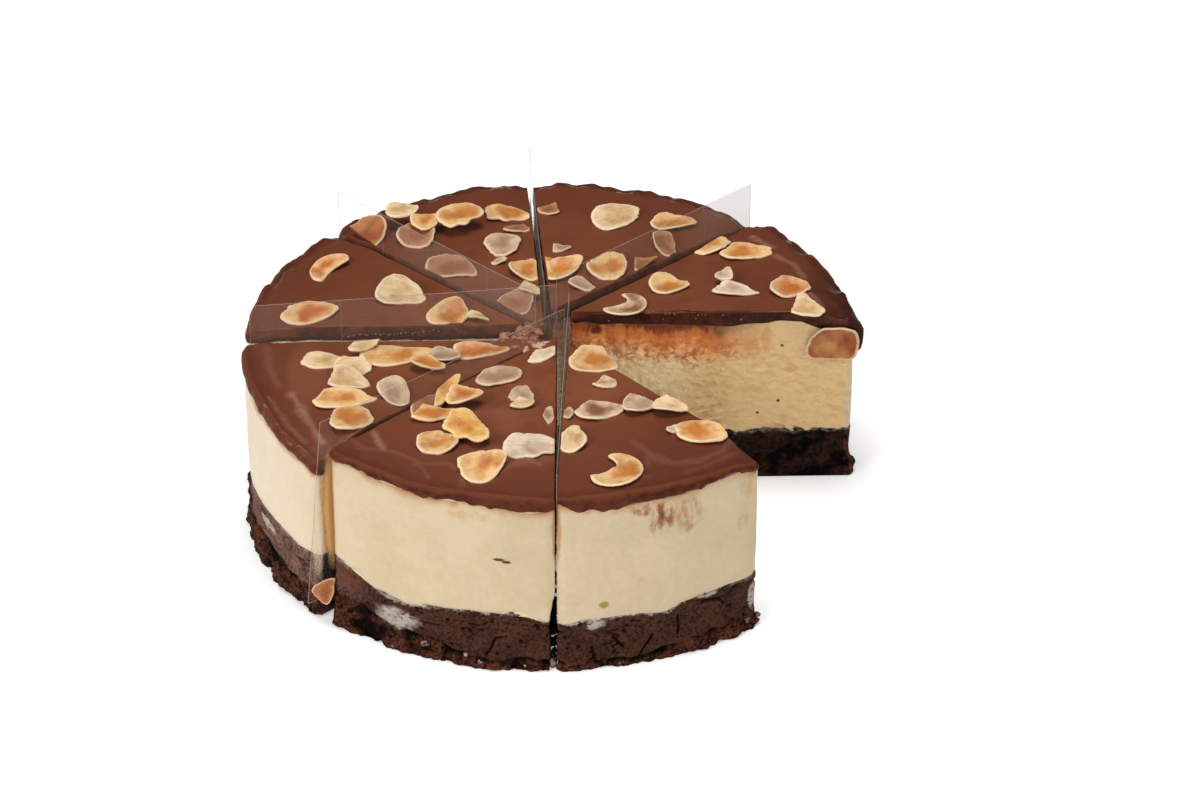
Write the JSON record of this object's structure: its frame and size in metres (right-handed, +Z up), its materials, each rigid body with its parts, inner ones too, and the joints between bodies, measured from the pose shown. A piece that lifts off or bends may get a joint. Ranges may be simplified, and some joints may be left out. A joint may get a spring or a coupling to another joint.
{
  "type": "brownie cheesecake",
  "caption": "Round brownie cheesecake cut into slices, with a slice missing, chocolate icing, flaked almonds and clear dividers standing in the cuts.",
  "frame": {"origin": "centre of the cake's box at its underside, where it rests", "axes": "+Z up, the front of the cake faces -Y, and the missing slice's gap is towards +X and -Y"},
  "size_m": [0.2244, 0.2247, 0.09],
  "materials": {
    "base": "dense dark brownie with small pits and a crumbly lower edge",
    "cream": "pale cream, smooth round the outside and finely wrinkled on the cuts",
    "icing": "satin milk chocolate icing, glossier on its cut edges",
    "almond": "toasted almond flakes, pale at the rim and brown in the middle",
    "divider": "clear thin film"
  },
  "bodies": {
    "root": {"base_right": "base", "base_back_right": "base", "base_back_left": "base", "base_left_back": "base", "base_left_front": "base", "base_front": "base", "base_front_right": "base", "cream_right": "cream", "cream_back_right": "cream", "cream_back_left": "cream", "cream_left_back": "cream", "cream_left_front": "cream", "cream_front": "cream", "cream_front_right": "cream", "icing_right": "icing", "icing_back_right": "icing", "icing_back_left": "icing", "icing_left_back": "icing", "icing_left_front": "icing", "icing_front": "icing", "icing_front_right": "icing", "divider_back": "divider", "divider_back_right": "divider", "divider_front": "divider", "divider_front_left": "divider", "divider_left": "divider", "divider_back_left": "divider"}
  },
  "joints": []
}
